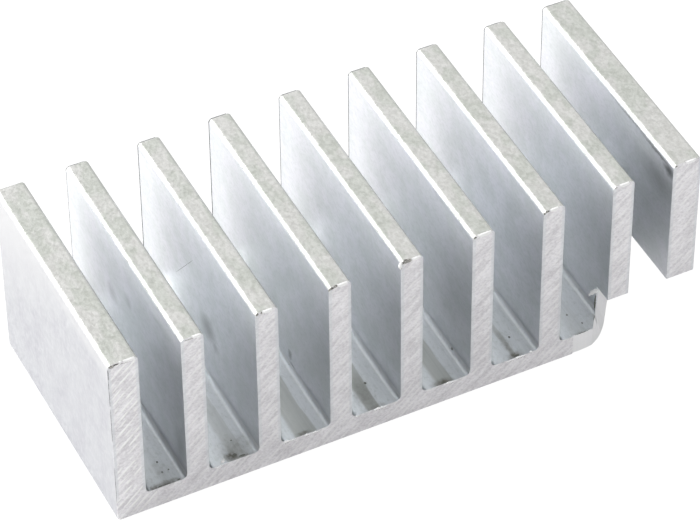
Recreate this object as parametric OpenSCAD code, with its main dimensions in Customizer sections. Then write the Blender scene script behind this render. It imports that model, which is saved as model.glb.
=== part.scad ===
// Straight-finned aluminium heat sink, cut from one extruded bar.
// The origin is the centre of the foot: X runs along the row of fins,
// Y runs along the channels with the sawn front at -Y, and Z is up.
// One corner of the base is relieved from below at the right of the front,
// so the last two fins overhang there.

/* [Bar] */
// Length of the piece along the channels
body_length = 25.4; // [20:0.1:80]
// Height from the foot to the fin tips
body_height = 20; // [12:0.5:40]
// Thickness of the base plate
base_thickness = 2.3; // [1.5:0.1:5]
// Rounding of the two lower long edges
foot_radius = 0.35; // [0.1:0.05:0.7]

/* [Fins] */
// Number of fins between the two end fins
inner_fins = 7; // [3:1:15]
// Thickness of an inner fin
fin_thickness = 2.25; // [1.5:0.05:4]
// Clear width between two inner fins
channel_width = 5.02; // [3:0.01:9]
// Thickness of each end fin
end_fin_thickness = 2.965; // [1.5:0.005:5]
// Clear width between an end fin and its neighbour
end_channel_width = 4.1; // [3:0.05:9]
// Rounding of the fin tips
tip_radius = 0.45; // [0.1:0.05:0.7]
// Fillet where a fin meets the base
root_radius = 0.5; // [0.1:0.05:1.2]

/* [Corner relief] */
// Height of the relief above the foot
relief_height = 5.5; // [4:0.1:8]
// Distance from the right end to where the relief starts in the front face
relief_reach = 12.85; // [11.5:0.05:16]
// Depth of the first skim cut into the front face
skim_depth = 0.1; // [0.05:0.05:0.4]
// Distance from the right end to where the wall would meet the front face
wall_reach = 9.7; // [9:0.05:11]
// Angle between the wall and the front face
wall_angle = 55; // [50:1:60]
// Bend radius between the front face and the wall
wall_radius = 5.5; // [1:0.1:5.9]
// How far the wall flares out from the floor down to the foot
wall_flare = 0.82; // [0:0.02:1]

/* [Hidden] */

$fn = 64;
metal = [0.79, 0.79, 0.80];

// Plain margin by which a cutter runs past the surface it cuts
past = 1;

// Pitches and the full width follow from the fins and the channels
inner_pitch = fin_thickness + channel_width;
end_pitch = fin_thickness / 2 + end_channel_width + end_fin_thickness / 2;
inner_span = inner_pitch * (inner_fins - 1);
end_fin_x = inner_span / 2 + end_pitch;
body_width = 2 * end_fin_x + end_fin_thickness;

// Planes that the relief is measured from
front_y = -body_length / 2;
right_x = body_width / 2;
wall_x = right_x - wall_reach;
wall_y = front_y + skim_depth;
relief_x = right_x - relief_reach;

// The bend touches the front face and the wall at this distance from their corner
bend_tangent = wall_radius * tan(wall_angle / 2);
bend_x = wall_x - bend_tangent;
bend_y = wall_y + wall_radius;
wall_lean = atan(wall_flare / base_thickness);
wall_run = body_width + body_length;

function inner_fin_x(i) = -inner_span / 2 + i * inner_pitch;

// A fin in section, standing on the foot plane, with both tip edges rounded
module fin_section(thickness) {
    half = thickness / 2;
    translate([-half, base_thickness / 2])
        square([thickness, body_height - tip_radius - base_thickness / 2]);
    translate([-half + tip_radius, body_height - 2 * tip_radius])
        square([thickness - 2 * tip_radius, 2 * tip_radius]);
    for (side = [-1, 1])
        translate([side * (half - tip_radius), body_height - tip_radius])
            circle(r = tip_radius);
}

// The concave corner between a fin face and the base, on the +X side of x = 0
module root_fillet() {
    translate([0, base_thickness])
        difference() {
            translate([-root_radius, -root_radius])
                square(2 * root_radius);
            translate([root_radius, root_radius])
                circle(r = root_radius);
        }
}

// The base plate in section, with its lower edges rounded
module base_section() {
    half = body_width / 2;
    translate([-half, foot_radius])
        square([body_width, base_thickness - foot_radius]);
    translate([-half + foot_radius, 0])
        square([body_width - 2 * foot_radius, 2 * foot_radius]);
    for (side = [-1, 1])
        translate([side * (half - foot_radius), foot_radius])
            circle(r = foot_radius);
}

// The whole bar in section
module bar_section() {
    base_section();
    for (i = [0 : inner_fins - 1])
        translate([inner_fin_x(i), 0]) {
            fin_section(fin_thickness);
            translate([fin_thickness / 2, 0])
                root_fillet();
            translate([-fin_thickness / 2, 0])
                mirror([1, 0])
                    root_fillet();
        }
    for (side = [-1, 1])
        translate([side * end_fin_x, 0]) {
            fin_section(end_fin_thickness);
            translate([-side * end_fin_thickness / 2, 0])
                mirror([side > 0 ? 1 : 0, 0])
                    root_fillet();
        }
}

// Plan of the base that stays behind the skim cut, the bend and the wall
module kept_plan() {
    bend_end = [bend_x + wall_radius * sin(wall_angle), bend_y - wall_radius * cos(wall_angle)];
    wall_end = bend_end + wall_run * [cos(wall_angle), sin(wall_angle)];
    polygon([
        [relief_x - past, wall_y],
        [bend_x, wall_y],
        [bend_x, bend_y],
        bend_end,
        wall_end,
        [relief_x - past, wall_end[1]]
    ]);
    translate([bend_x, bend_y])
        circle(r = wall_radius);
}

// Cutter for the outline of the relief in the base plate
module relief_outline() {
    translate([0, 0, -past])
        linear_extrude(height = past + base_thickness)
            difference() {
                translate([relief_x, front_y - past])
                    square([relief_reach + past, body_length + past]);
                kept_plan();
            }
}

// A block whose near face is the wall, turned to the wall's angle
module wall_block(drop, rise) {
    translate([-wall_run, -wall_run, -drop])
        cube([2 * wall_run, wall_run, drop + rise]);
}

// Cutter that makes the wall flare outwards from the floor down to the foot
module wall_flare_cut() {
    shift = wall_flare / sin(wall_angle);
    intersection() {
        translate([wall_x - shift, wall_y, base_thickness])
            rotate([0, 0, wall_angle])
                rotate([-wall_lean, 0, 0])
                    wall_block(2 * body_height, body_height);
        translate([relief_x, front_y - past, -past])
            cube([relief_reach + past, body_length + past, past + base_thickness]);
    }
}

// Cutter under the overhanging fins, from the floor up to the relief's roof
module fin_relief() {
    shift = wall_flare / sin(wall_angle);
    intersection() {
        translate([wall_x - shift, wall_y, base_thickness])
            rotate([0, 0, wall_angle])
                wall_block(0, body_height);
        translate([relief_x, front_y - past, base_thickness])
            cube([relief_reach + past, body_length + past, relief_height - base_thickness]);
    }
}

module heat_sink() {
    color(metal)
        difference() {
            rotate([90, 0, 0])
                linear_extrude(height = body_length, center = true)
                    bar_section();
            relief_outline();
            wall_flare_cut();
            fin_relief();
        }
}

heat_sink();
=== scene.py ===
# %% [markdown]
# # A nine-finned aluminium heat sink
#
# A heat sink like this starts as a long bar. Soft, hot aluminium is pushed
# through a steel die whose opening is the comb-shaped section, so every face
# that runs along the bar is smooth and carries fine lines in that direction.
# The bar is then sawn into short pieces, and the two sawn ends are coarse.
# One corner of the base was milled away afterwards to clear another part.
#
# The CAD frame is loaded first. It gives the place and the size of everything.

# %% Load the frame
import math

import bmesh
import bpy
from mathutils import Matrix, Vector


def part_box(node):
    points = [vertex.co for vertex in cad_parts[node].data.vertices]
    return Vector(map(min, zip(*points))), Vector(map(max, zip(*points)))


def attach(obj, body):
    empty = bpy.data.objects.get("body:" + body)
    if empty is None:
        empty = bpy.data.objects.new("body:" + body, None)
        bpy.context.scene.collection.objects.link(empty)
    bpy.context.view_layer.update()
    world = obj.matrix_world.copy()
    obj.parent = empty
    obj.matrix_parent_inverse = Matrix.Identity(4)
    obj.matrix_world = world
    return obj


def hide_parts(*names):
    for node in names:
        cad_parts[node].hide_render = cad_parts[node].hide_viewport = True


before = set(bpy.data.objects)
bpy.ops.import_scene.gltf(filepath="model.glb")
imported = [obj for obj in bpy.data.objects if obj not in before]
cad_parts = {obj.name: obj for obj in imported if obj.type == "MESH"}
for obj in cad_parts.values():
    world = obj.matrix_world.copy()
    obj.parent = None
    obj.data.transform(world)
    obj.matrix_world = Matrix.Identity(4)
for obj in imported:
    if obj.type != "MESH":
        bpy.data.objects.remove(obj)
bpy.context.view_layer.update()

LOW, HIGH = (Vector(corner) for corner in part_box("heat_sink"))
MM = 0.001
print("nodes in the frame:", len(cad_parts))

# %% [markdown]
# ## Small helpers
#
# Colours are written as sRGB hex values, the way a paint chart gives them.
# Shaders work in linear light, so one function converts them.
#
# Node trees are long to write by hand. One function adds a node, sets its
# properties, and fills its inputs with numbers or with links to other nodes.
# The inputs of a node that is already there are filled in the same way.

# %% Colour and node helpers
def linear(hex_colour):
    """An sRGB hex colour as linear red, green, blue and alpha."""
    parts = [int(hex_colour[i : i + 2], 16) / 255 for i in (1, 3, 5)]
    parts = [p / 12.92 if p <= 0.04045 else ((p + 0.055) / 1.055) ** 2.4 for p in parts]
    return (*parts, 1.0)


def fill(node, inputs):
    """Fills inputs of a node with numbers, hex colours, sockets or other nodes."""
    for name, value in inputs.items():
        if isinstance(value, bpy.types.Node):
            value = next(socket for socket in value.outputs if socket.enabled)
        if isinstance(value, bpy.types.NodeSocket):
            node.id_data.links.new(value, node.inputs[name])
        elif isinstance(value, str) and value.startswith("#"):
            node.inputs[name].default_value = linear(value)
        else:
            node.inputs[name].default_value = value


def put(tree, kind, inputs=None, **settings):
    """Adds one node with its settings, and fills its inputs."""
    node = tree.nodes.new(kind)
    for name, value in settings.items():
        setattr(node, name, value)
    fill(node, inputs or {})
    return node


print("helpers ready")

# %% [markdown]
# ## The sizes of the bar
#
# The section is the same all along the bar: nine fins on a base plate, the
# two at the ends thicker than the rest. The finishes need these sizes as well
# as the bar does, so they come first. The sawn ends stand back a little, so
# that the burrs on them stay inside the CAD box.

# %% Sizes of the bar, in millimetres
SAW_INSET = 0.05
BAR = {
    "Length": 25.4 - 2 * SAW_INSET,
    "Height": 20.0,
    "Base": 2.3,
    "Fins": 9,
    "Fin thickness": 2.25,
    "Channel": 5.02,
    "End fin thickness": 2.965,
    "End channel": 4.1,
    "Tip radius": 0.45,
    "Root radius": 0.5,
    "Foot radius": 0.35,
}
INNER_PITCH = BAR["Fin thickness"] + BAR["Channel"]
END_PITCH = BAR["Fin thickness"] / 2 + BAR["End channel"] + BAR["End fin thickness"] / 2
END_X = INNER_PITCH * (BAR["Fins"] - 3) / 2 + END_PITCH
WIDTH = 2 * END_X + BAR["End fin thickness"]
FRONT, BACK = -BAR["Length"] / 2, BAR["Length"] / 2
RIGHT = WIDTH / 2
TOP, FLOOR = BAR["Height"], BAR["Base"]
print("bar is", round(WIDTH, 2), "mm wide; CAD says", round((HIGH.x - LOW.x) / MM, 2))


def fin_sides(i):
    """Left and right faces of fin i, counted from 0 at the left, in mm."""
    last = BAR["Fins"] - 1
    middle = (-END_X, END_X)[i == last] if i in (0, last) else (i - last / 2) * INNER_PITCH
    half = BAR["End fin thickness" if i in (0, last) else "Fin thickness"] / 2
    return middle - half, middle + half


print("the first inner fin stands at", [round(x, 3) for x in fin_sides(1)])

# %% [markdown]
# ## The metal
#
# All of it is one alloy, a soft 6000-series aluminium with no coating. What
# changes is how each face was made, so each way of making has its own
# material: drawn through the die, sawn, milled, torn. A Principled shader
# with the default IOR is right for all of them. They differ in roughness, in
# tint and in the direction of their marks. The drawn and the sawn faces have
# Metallic at 1. Milling left facets so small that light bounces between them
# and comes out evenly, as from chalk, so the milled faces have it low. The
# torn ones have it at 0 and are white, a painted highlight for their glints.

# %% A finish to build on
def surface_finish(name, hex_colour, roughness, metallic=1.0):
    """A material, its tree, its shader and its object coordinates."""
    material = bpy.data.materials.new(name)
    material.use_nodes = True
    tree = material.node_tree
    tree.nodes.clear()
    shader = put(
        tree,
        "ShaderNodeBsdfPrincipled",
        {"Base Color": hex_colour, "Metallic": metallic, "Roughness": roughness},
    )
    put(tree, "ShaderNodeOutputMaterial", {"Surface": shader})
    place = put(tree, "ShaderNodeTexCoord").outputs["Object"]
    return material, tree, shader, place


def stretch_gloss(tree, shader, amount):
    """Stretches the highlights across the drawing lines, which run along Y."""
    around_bar = put(tree, "ShaderNodeTangent", direction_type="RADIAL", axis="Y")
    fill(shader, {"Anisotropic": amount, "Tangent": around_bar})


def grain(tree, place, size_mm, detail=2.0, rough=0.5, turn=(0, 0, 0)):
    """Noise whose grains have the given size in mm along X, Y and Z."""
    turned = put(
        tree,
        "ShaderNodeMapping",
        {"Vector": place, "Rotation": turn},
        vector_type="TEXTURE",
    )
    sized = put(
        tree,
        "ShaderNodeVectorMath",
        {0: turned, 1: [1 / (s * MM) for s in size_mm]},
        operation="MULTIPLY",
    )
    return put(
        tree,
        "ShaderNodeTexNoise",
        {"Vector": sized, "Scale": 1.0, "Detail": detail, "Roughness": rough},
    )


def spots(tree, place, rows, ragged_mm):
    """A mask, 0 to 1, of soft ragged spots: (centre in mm, radii in mm, strength)."""
    in_mm = put(tree, "ShaderNodeVectorMath", {0: place, "Scale": 1 / MM}, operation="SCALE")
    edge = grain(tree, place, (0.6, 0.6, 0.6), detail=4, rough=0.65)
    shifted = put(
        tree,
        "ShaderNodeVectorMath",
        {0: edge.outputs["Color"], 1: [ragged_mm * 2] * 3, 2: in_mm},
        operation="MULTIPLY_ADD",
    )
    mask = None
    for centre, radii, strength in rows:
        away = put(
            tree,
            "ShaderNodeVectorMath",
            {0: shifted, 1: [c + ragged_mm for c in centre]},
            operation="SUBTRACT",
        )
        away = put(
            tree,
            "ShaderNodeVectorMath",
            {0: away, 1: [1 / r for r in radii]},
            operation="MULTIPLY",
        )
        away = put(tree, "ShaderNodeVectorMath", {0: away}, operation="LENGTH")
        spot = put(tree, "ShaderNodeMapRange", {0: away, 1: 1.1, 2: 0.2, 3: 0.0, 4: strength})
        mask = spot if mask is None else put(
            tree, "ShaderNodeMath", {0: mask, 1: spot}, operation="MAXIMUM"
        )
    return mask


print("helpers for finishes ready")

# %% [markdown]
# ### Drawn faces
#
# The walls of the channels came straight from the die. The die leaves fine
# lines along the bar, 0.1 to 0.4 mm apart and many millimetres long, and a
# thin natural oxide that turns the metal slightly blue-grey.

# %% Mill finish on the drawn faces
drawn, tree, shader, place = surface_finish("mill_finish_extruded_aluminium", "#D6D9DB", 0.38)
lines = grain(tree, place, (0.22, 14, 0.22), detail=3)
clouds = grain(tree, place, (2.6, 2.6, 2.2), detail=4, rough=0.6)
tint = put(tree, "ShaderNodeMix", {0: lines, 6: "#E1E4E6", 7: "#F1F2F3"}, data_type="RGBA")
share = put(tree, "ShaderNodeMapRange", {0: clouds, 1: 0.4, 2: 0.6})
hue = put(tree, "ShaderNodeMix", {0: share, 6: "#DBDFE1", 7: "#E9E9F0"}, data_type="RGBA")
tint = put(tree, "ShaderNodeMix", {0: 0.6, 6: tint, 7: hue}, data_type="RGBA")
fine = grain(tree, place, (0.3, 0.5, 0.3), detail=3, rough=0.6)
share = put(tree, "ShaderNodeMapRange", {0: fine, 1: 0.45, 2: 0.7, 3: 0.0, 4: 0.3})
tint = put(tree, "ShaderNodeMix", {0: share, 6: tint, 7: "#C2C6C7"}, data_type="RGBA")
print("nodes for the lines and clouds:", len(tree.nodes))

# %% Smudges left by handling
# Each row: centre and radii in mm along X, Y and Z, and how dark it gets.
SMUDGES = [
    ((-15.67, -2.0, 8.7), (1, 1.9, 1.7), 0.45),
    ((-15.67, -3.4, 7.6), (1, 0.8, 0.8), 0.3),
    ((-8.4, -4.1, 3.9), (1, 0.5, 0.7), 0.6),
    ((-8.4, -4.6, 2.7), (1, 0.8, 0.4), 0.6),
    ((-22.93, 3.1, 12.3), (1, 1.2, 1.2), 0.25),
    ((-22.93, -0.8, 14.4), (1, 0.9, 0.9), 0.2),
    ((-22.93, -11.5, 5.0), (1, 1.6, 3.0), 0.25),
    ((6.14, -8.0, 9.0), (1, 5.5, 7.0), 0.14),
    ((27.03, -11.9, 18.8), (1, 1.3, 0.8), 0.8),
    ((27.03, -9.5, 19.35), (1, 3.5, 0.25), 0.65),
    ((27.03, -4.5, 19.5), (1, 5.0, 0.16), 0.5),
    ((27.03, -10.0, 16.5), (1, 3.5, 2.0), 0.3),
]
smudge = spots(tree, place, SMUDGES, 0.35)
tint = put(tree, "ShaderNodeMix", {0: smudge, 6: tint, 7: "#565B5A"}, data_type="RGBA")
gloss = put(tree, "ShaderNodeMapRange", {0: lines, 1: 0.3, 2: 0.7, 3: 0.36, 4: 0.43})
gloss = put(tree, "ShaderNodeMath", {0: gloss, 1: 0.06}, operation="ADD")
gloss = put(tree, "ShaderNodeMath", {0: clouds, 1: -0.12, 2: gloss}, operation="MULTIPLY_ADD")
ridges = put(tree, "ShaderNodeBump", {"Height": lines, "Strength": 0.05, "Distance": 0.02 * MM})
waves = put(
    tree,
    "ShaderNodeBump",
    {"Height": clouds, "Strength": 1.0, "Distance": 0.03 * MM, "Normal": ridges},
)
fill(shader, {"Base Color": tint, "Roughness": gloss, "Normal": waves})
stretch_gloss(tree, shader, 0.6)
print("made", drawn.name)

# %% Outer sides of the bar
outer, tree, shader, place = surface_finish("outer_side_painted_highlight", "#CACBCE", 0.45)
lines = grain(tree, place, (0.25, 12, 0.25), detail=3)
clouds = grain(tree, place, (2.2, 2.2, 3.5), detail=3)
mottle = grain(tree, place, (0.4, 0.45, 0.7), detail=4, rough=0.6)
tint = put(tree, "ShaderNodeMix", {0: lines, 6: "#BFC0C3", 7: "#CCCDD0"}, data_type="RGBA")
share = put(tree, "ShaderNodeMapRange", {0: clouds, 1: 0.4, 2: 0.62, 3: 0.0, 4: 0.8})
tint = put(tree, "ShaderNodeMix", {0: share, 6: tint, 7: "#BDBDC2"}, data_type="RGBA")
share = put(tree, "ShaderNodeMapRange", {0: mottle, 1: 0.42, 2: 0.68, 3: 0.0, 4: 0.55})
tint = put(tree, "ShaderNodeMix", {0: share, 6: tint, 7: "#D7D7D9"}, data_type="RGBA")
# Painted highlight: the side is painted lighter under the top edge and towards
# the far top corner, where the highlight of the rounded edge widens.
axes = put(tree, "ShaderNodeSeparateXYZ", {0: place})
upwards = put(
    tree,
    "ShaderNodeMath",
    {0: axes.outputs["Y"], 1: 0.6, 2: axes.outputs["Z"]},
    operation="MULTIPLY_ADD",
)
to_corner = put(tree, "ShaderNodeMapRange", {0: upwards, 1: 14 * MM, 2: 24 * MM})
to_top = put(
    tree, "ShaderNodeMapRange", {0: axes.outputs["Z"], 1: 17.6 * MM, 2: 18.8 * MM, 4: 0.7}
)
painted_highlight = put(tree, "ShaderNodeMath", {0: to_top, 1: to_corner}, operation="MAXIMUM")
tint = put(tree, "ShaderNodeMix", {0: painted_highlight, 6: tint, 7: "#D5D5D6"}, data_type="RGBA")
gloss = put(tree, "ShaderNodeMapRange", {0: mottle, 1: 0.3, 2: 0.7, 3: 0.42, 4: 0.5})
ridges = put(tree, "ShaderNodeBump", {"Height": mottle, "Strength": 0.6, "Distance": 0.02 * MM})
fill(shader, {"Base Color": tint, "Roughness": gloss, "Normal": ridges})
stretch_gloss(tree, shader, 0.5)
print("made", outer.name)

# %% Rubbed tips of the fins
tips, tree, shader, place = surface_finish("rubbed_tips_painted_shade_right", "#C1C2C0", 0.42)
mottle = grain(tree, place, (0.28, 0.42, 0.28), detail=4, rough=0.62)
patches = grain(tree, place, (1.5, 2.6, 1.5), detail=2)
worn = put(tree, "ShaderNodeMapRange", {0: mottle, 1: 0.36, 2: 0.64})
tint = put(tree, "ShaderNodeMix", {0: worn, 6: "#B3B5B1", 7: "#D9DAD8"}, data_type="RGBA")
share = put(tree, "ShaderNodeMapRange", {0: patches, 1: 0.44, 2: 0.56})
hue = put(tree, "ShaderNodeMix", {0: share, 6: "#B8BCB2", 7: "#D2D0CD"}, data_type="RGBA")
tint = put(tree, "ShaderNodeMix", {0: 0.4, 6: tint, 7: hue}, data_type="RGBA")
# Painted shade: where the rounded tips turn to the right they are painted darker.
facing = put(tree, "ShaderNodeNewGeometry").outputs["True Normal"]
painted_shade_right = put(tree, "ShaderNodeSeparateXYZ", {0: facing}).outputs["X"]
painted_shade_right = put(tree, "ShaderNodeMapRange", {0: painted_shade_right, 1: 0.15, 2: 0.7, 3: 0.0, 4: 0.5})
tint = put(tree, "ShaderNodeMix", {0: painted_shade_right, 6: tint, 7: "#8F918F"}, data_type="RGBA")
gloss = put(tree, "ShaderNodeMapRange", {0: mottle, 1: 0.3, 2: 0.7, 3: 0.36, 4: 0.54})
dents = put(tree, "ShaderNodeBump", {"Height": mottle, "Strength": 1.0, "Distance": 0.05 * MM})
fill(shader, {"Base Color": tint, "Roughness": gloss, "Normal": dents})
print("made", tips.name)

# %% [markdown]
# ### Floors of the channels
#
# The floor of each channel carries a darker stripe along the bar, a painted
# shade, in a slightly different place in each channel. Cutting fluid mixed
# with metal dust dried at the front edge and left brown stains. The stripe
# is worked out from the place across the channel, and each stain is an
# ellipse with a ragged edge.

# %% Place across a channel
CHANNEL_LEFT = fin_sides(1)[1]
floors, tree, shader, place = surface_finish("extruded_channel_floor", "#C4C9CD", 0.38)
in_mm = put(tree, "ShaderNodeVectorMath", {0: place, "Scale": 1 / MM}, operation="SCALE")
x_mm = put(tree, "ShaderNodeSeparateXYZ", {0: in_mm}).outputs["X"]
from_left = put(tree, "ShaderNodeMath", {0: x_mm, 1: CHANNEL_LEFT}, operation="SUBTRACT")
channel = put(tree, "ShaderNodeMath", {0: from_left, 1: INNER_PITCH}, operation="DIVIDE")
channel = put(tree, "ShaderNodeMath", {0: channel}, operation="FLOOR")
across = put(tree, "ShaderNodeMath", {0: from_left, 1: INNER_PITCH}, operation="FLOORED_MODULO")
wander = grain(tree, place, (2.5, 7, 2.5))
across = put(tree, "ShaderNodeMath", {0: across, 1: 0.45}, operation="SUBTRACT")
across = put(tree, "ShaderNodeMath", {0: wander, 1: 0.9, 2: across}, operation="MULTIPLY_ADD")
# An end channel is counted too, and half a step puts each in the middle of its stop.
channel_share = put(tree, "ShaderNodeMath", {0: channel, 1: 1.5}, operation="ADD")
channel_share = put(tree, "ShaderNodeMath", {0: channel_share, 1: 8.0}, operation="DIVIDE")


def per_channel(values):
    """A different number in each of the eight channels, from the left."""
    ramp = put(tree, "ShaderNodeValToRGB", {0: channel_share})
    stops = ramp.color_ramp
    stops.interpolation = "CONSTANT"
    for i, value in enumerate(values):
        stop = stops.elements[i] if i < 2 else stops.elements.new(i / 8)
        stop.position, stop.color = i / 8, (value, value, value, 1)
    return ramp


print("channels start at", round(CHANNEL_LEFT, 3), "mm and repeat every", INNER_PITCH)

# %% The painted shade stripe
# A ramp holds values from 0 to 1, so the places across the channel are in cm.
stripe_from = per_channel([0.17, 0.24, 0.155, 0.17, 0.17, 0.24, 0.16, 0.16])
stripe_to = per_channel([0.33, 0.37, 0.36, 0.31, 0.33, 0.29, 0.30, 0.30])
stripe_depth = per_channel([0.1, 0.45, 0.8, 0.85, 0.85, 0.55, 0.2, 0.3])
in_cm = put(tree, "ShaderNodeMath", {0: across, 1: 0.1}, operation="MULTIPLY")
painted_shade_stripe = None
for limit, soft, low, high in ((stripe_from, 0.02, 0.0, 1.0), (stripe_to, 0.008, 1.0, 0.0)):
    before = put(tree, "ShaderNodeMath", {0: limit, 1: soft}, operation="SUBTRACT")
    after = put(tree, "ShaderNodeMath", {0: limit, 1: soft}, operation="ADD")
    step = put(
        tree,
        "ShaderNodeMapRange",
        {0: in_cm, 1: before, 2: after, 3: low, 4: high},
        interpolation_type="SMOOTHSTEP",
    )
    painted_shade_stripe = step if painted_shade_stripe is None else put(
        tree, "ShaderNodeMath", {0: painted_shade_stripe, 1: step}, operation="MULTIPLY"
    )
painted_shade_stripe = put(tree, "ShaderNodeMath", {0: painted_shade_stripe, 1: stripe_depth}, operation="MULTIPLY")
lines = grain(tree, place, (0.25, 10, 0.25), detail=3)
flecks = grain(tree, place, (0.3, 0.5, 0.3), detail=4, rough=0.65)
unshaded_floor = put(tree, "ShaderNodeMix", {0: lines, 6: "#CBCFD1", 7: "#E4E7E8"}, data_type="RGBA")
share = put(tree, "ShaderNodeMapRange", {0: flecks, 1: 0.5, 2: 0.7, 3: 0.0, 4: 0.35})
unshaded_floor = put(tree, "ShaderNodeMix", {0: share, 6: unshaded_floor, 7: "#A9B0A9"}, data_type="RGBA")
painted_shade_colour = put(tree, "ShaderNodeMix", {0: lines, 6: "#9FA29E", 7: "#BDBFBA"}, data_type="RGBA")
# Painted shade: inside the stripe the floor is mixed towards a darker colour.
tint = put(tree, "ShaderNodeMix", {0: painted_shade_stripe, 6: unshaded_floor, 7: painted_shade_colour}, data_type="RGBA")
print("nodes with the stripe:", len(tree.nodes))

# %% Dried stains, and painted light and shade on the fillets
# Each row: centre and radii in mm along X, Y and Z, and how strong it is.
STAINS = [
    ((-25.3, -12.6, 2.3), (2.1, 0.7, 2), 1.0),
    ((-26.4, -12.0, 2.3), (0.5, 1.2, 2), 0.25),
    ((-24.7, -10.9, 2.3), (1.0, 1.6, 2), 0.2),
    ((-18.2, -12.0, 2.3), (0.9, 0.8, 2), 0.9),
    ((-17.2, -12.5, 2.3), (1.7, 0.4, 2), 0.6),
    ((-17.4, -11.3, 2.3), (2.0, 1.9, 2), 0.35),
    ((-11.1, -12.45, 2.3), (0.9, 0.4, 2), 0.6),
    ((-3.7, -12.4, 2.3), (1.2, 0.4, 2), 0.5),
    ((-3.9, -10.4, 2.3), (1.0, 3.2, 2), 0.35),
    ((3.3, -12.4, 2.3), (1.2, 0.6, 2), 0.9),
    ((11.1, -12.3, 2.3), (0.9, 0.6, 2), 0.8),
    ((11.0, -10.6, 2.3), (0.45, 2.0, 2), 0.45),
    ((18.2, -12.5, 2.3), (1.4, 0.25, 2), 0.35),
]
soil = spots(tree, place, STAINS, 0.4)
blotch = put(tree, "ShaderNodeMapRange", {0: flecks, 1: 0.36, 2: 0.58, 3: 0.45, 4: 1.0})
soil = put(tree, "ShaderNodeMath", {0: soil, 1: blotch}, operation="MULTIPLY")
tint = put(tree, "ShaderNodeMix", {0: soil, 6: tint, 7: "#6C695E"}, data_type="RGBA")
# The fillets beside the floor are painted darker from where they start, a
# painted shade over their highlight, and lighter and rougher higher up, a
# painted highlight where the corner is in shade.
height = put(tree, "ShaderNodeSeparateXYZ", {0: in_mm}).outputs["Z"]
painted_light_fillet = put(tree, "ShaderNodeMapRange", {0: height, 1: 2.42, 2: 2.6, 3: 0.0, 4: 0.85})
painted_shade_fillet = put(tree, "ShaderNodeMapRange", {0: height, 1: 2.301, 2: 2.34, 3: 0.0, 4: 0.22})
tint = put(tree, "ShaderNodeMix", {0: painted_shade_fillet, 6: tint, 7: "#8E9698"}, data_type="RGBA")
tint = put(tree, "ShaderNodeMix", {0: painted_light_fillet, 6: tint, 7: "#FAFBFB"}, data_type="RGBA")
bare = put(tree, "ShaderNodeMapRange", {0: soil, 3: 1.0, 4: 0.25})
gloss = put(tree, "ShaderNodeMapRange", {0: soil, 3: 0.38, 4: 0.75})
gloss = put(tree, "ShaderNodeMath", {0: painted_light_fillet, 1: 0.1, 2: gloss}, operation="MULTIPLY_ADD")
ridges = put(tree, "ShaderNodeBump", {"Height": lines, "Strength": 0.3, "Distance": 0.02 * MM})
fill(shader, {"Base Color": tint, "Metallic": bare, "Roughness": gloss, "Normal": ridges})
stretch_gloss(tree, shader, 0.6)
print("made", floors.name, "with", len(STAINS), "stains")

# %% [markdown]
# ### Sawn ends
#
# A circular saw leaves strokes where its teeth went through, here rising to
# the right at about 45 degrees and 0.6 mm apart. They are deepest in the
# first fin, where the blade came in. Along the sides of each fin a narrow
# strip is smooth, because the soft metal was dragged over the edge there.

# %% Saw strokes
STROKE_ANGLE, BROAD_ANGLE = math.radians(44), math.radians(38)
STROKE_GAP = 0.62
sawn, tree, shader, place = surface_finish("coarse_sawn_aluminium", "#DDDBDE", 0.55)
in_mm = put(tree, "ShaderNodeVectorMath", {0: place, "Scale": 1 / MM}, operation="SCALE")
rise, run = math.sin(STROKE_ANGLE), math.cos(STROKE_ANGLE)
upwards, along = (
    put(tree, "ShaderNodeVectorMath", {0: in_mm, 1: way}, operation="DOT_PRODUCT")
    for way in ((-rise, 0, run), (run, 0, rise))
)
along = put(tree, "ShaderNodeMath", {0: along, 1: 0.12}, operation="MULTIPLY")
on_blade = put(tree, "ShaderNodeCombineXYZ", {0: upwards, 1: along})
# The wave repeats every pi / 10 of its vector, whatever its scale.
teeth = put(
    tree,
    "ShaderNodeTexWave",
    {
        "Vector": on_blade,
        "Scale": math.pi / 10 / STROKE_GAP,
        "Distortion": 1.6,
        "Detail": 2.0,
        "Detail Scale": 1.2,
    },
    wave_type="BANDS",
    bands_direction="X",
)
breaks = grain(tree, place, (1.3, 1.3, 0.5), detail=3, turn=(0, -STROKE_ANGLE, 0))
broad = grain(tree, place, (2.2, 2.2, 0.6), detail=3, turn=(0, -BROAD_ANGLE, 0))
pits = grain(tree, place, (0.3, 0.3, 0.22), detail=4, rough=0.65)
crest = put(tree, "ShaderNodeMapRange", {0: teeth.outputs["Fac"], 1: 0.45, 2: 0.95})
kept = put(tree, "ShaderNodeMapRange", {0: breaks, 1: 0.4, 2: 0.58})
crest = put(tree, "ShaderNodeMath", {0: crest, 1: kept}, operation="MULTIPLY")
print("strokes every", STROKE_GAP, "mm, at", round(math.degrees(STROKE_ANGLE)), "degrees")

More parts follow.
